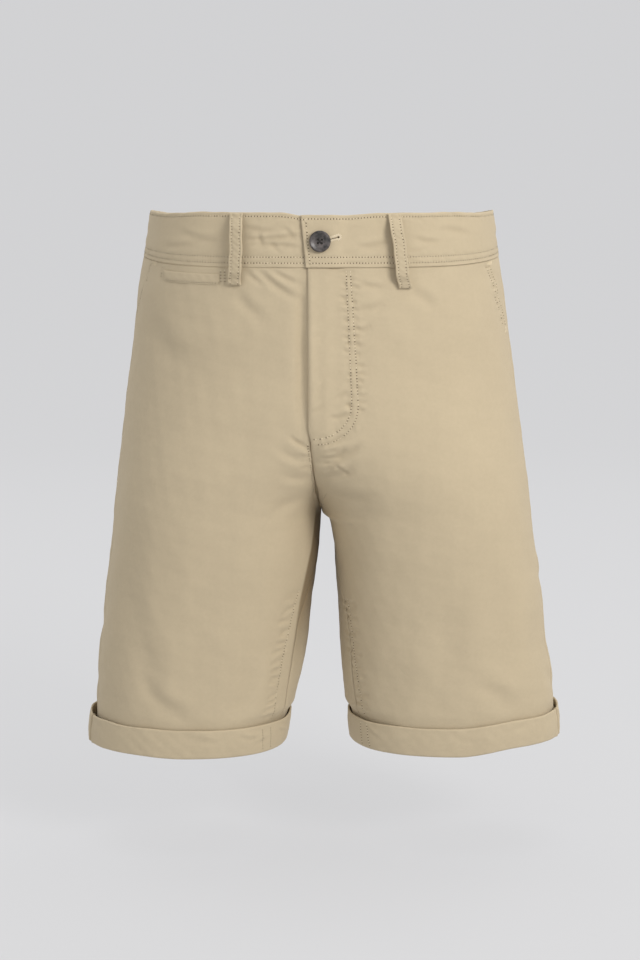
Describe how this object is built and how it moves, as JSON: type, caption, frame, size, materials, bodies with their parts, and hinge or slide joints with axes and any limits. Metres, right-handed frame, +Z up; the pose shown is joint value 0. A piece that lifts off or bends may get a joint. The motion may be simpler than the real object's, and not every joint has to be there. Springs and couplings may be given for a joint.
{
  "type": "bermuda shorts",
  "caption": "Filled-out cotton bermuda shorts with a buttoned waistband, belt loops, lapped fly, coin-pocket welt and turned-up cuffs, hollow from waist to hems.",
  "frame": {"origin": "centre of the waist opening, level with the top of the waistband at its sides, where the wearer holds the shorts up", "axes": "+Z up out of the waist, +X towards the wearer's left side, -Y towards the front, where the fly and button are"},
  "size_m": [0.4383, 0.2497, 0.484],
  "materials": {
    "cloth": "matt khaki cotton twill, garment washed, with tonal stitching",
    "horn": "dark imitation horn, satin"
  },
  "bodies": {
    "root": {"front_right": "cloth", "front_left": "cloth", "back_right": "cloth", "back_left": "cloth", "waistband_right": "cloth", "waistband_left": "cloth", "cuff_right": "cloth", "cuff_left": "cloth", "loop_front_right": "cloth", "loop_front_left": "cloth", "loop_back_right": "cloth", "loop_back_left": "cloth", "loop_centre_back": "cloth", "coin_welt": "cloth", "button": "horn"}
  },
  "joints": []
}
